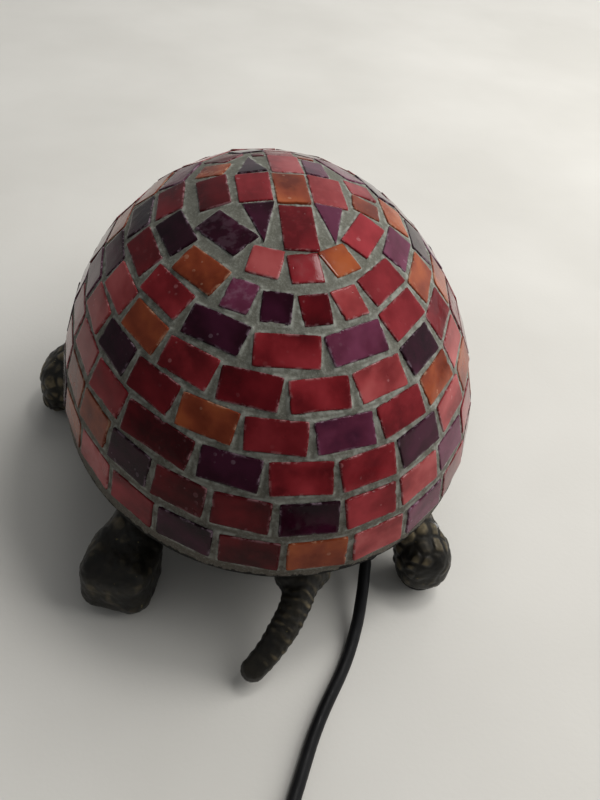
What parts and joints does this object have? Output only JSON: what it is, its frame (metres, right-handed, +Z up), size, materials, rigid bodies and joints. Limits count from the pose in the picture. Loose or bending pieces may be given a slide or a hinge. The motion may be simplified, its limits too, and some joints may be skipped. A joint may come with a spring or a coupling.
{
  "type": "turtle table lamp",
  "caption": "Table lamp in the form of a turtle: a lift-off oval shell of red, plum and amber mosaic glass over a bulb, on a dark cast turtle base with a black lead, in-line switch and plug.",
  "frame": {"origin": "on the floor under the middle of the turtle's box, measured without its lead", "axes": "+Z up, +Y towards the turtle's head, +X to its right side"},
  "size_m": [0.1976, 0.4905, 0.125],
  "materials": {
    "glass_dome": "frosted clear glass",
    "grout": "matte cement grout",
    "glass_red": "glossy",
    "glass_ruby": "glossy",
    "glass_plum": "glossy",
    "glass_violet": "glossy",
    "glass_amber": "glossy",
    "glass_rose": "glossy",
    "bronze": "dark antique bronze, satin",
    "eye": "glossy",
    "pad": "matte",
    "steel": "satin",
    "brass": "satin",
    "bakelite": "satin",
    "wire_brown": "satin",
    "wire_blue": "satin",
    "cord": "satin",
    "plate": "matte",
    "switch": "satin",
    "bulb_glass": "pearl",
    "bulb_clear": "clear",
    "tungsten": "matte"
  },
  "bodies": {
    "base": {"base_tray": "bronze", "head": "bronze", "eyes": "eye", "tail": "bronze", "leg_front_left": "bronze", "leg_front_right": "bronze", "leg_rear_left": "bronze", "leg_rear_right": "bronze", "foot_pads": "pad", "body_screws": "steel", "base_plate": "plate", "plate_screws": "steel", "bracket": "steel", "bracket_screws": "steel", "socket_nipple": "brass", "nipple_nut": "brass", "socket_cap": "bakelite", "socket_shell": "bakelite", "socket_ring": "bakelite", "socket_thread": "brass", "socket_contact": "brass", "terminal_screws": "brass", "wire_live": "wire_brown", "wire_neutral": "wire_blue", "cord_gland": "pad", "cord_clamp": "bakelite", "clamp_screws": "steel", "cord_inner": "cord", "cord_lead": "cord", "switch_bottom": "switch", "switch_top": "switch", "switch_screws": "steel", "cord_link": "cord", "cord_coil": "cord", "cord_tie": "pad", "cord_end": "cord", "plug_body": "switch", "plug_pins": "brass"},
    "shade": {"shade_dome": "glass_dome", "grout": "grout", "tiles_red": "glass_red", "tiles_ruby": "glass_ruby", "tiles_plum": "glass_plum", "tiles_violet": "glass_violet", "tiles_amber": "glass_amber", "tiles_rose": "glass_rose"},
    "bulb": {"bulb_glass": "bulb_glass", "bulb_cap": "brass", "bulb_insulator": "bakelite", "bulb_contact": "steel", "bulb_stem": "bulb_clear", "bulb_filament": "tungsten"},
    "rocker": {"switch_rocker": "switch"}
  },
  "joints": [
    {"name": "shade_lift", "type": "slide", "parent": "base", "child": "shade", "axis": [0, 0, 1], "range_m": [0, 0.12]},
    {"name": "bulb_unscrew", "type": "slide", "parent": "base", "child": "bulb", "axis": [0, 0, 1], "range_m": [0, 0.02]},
    {"name": "switch_rock", "type": "hinge", "parent": "base", "child": "rocker", "pos_m": [-0.014, -0.238, 0.014], "axis": [1, 0, 0], "range_deg": [-14, 0]}
  ]
}
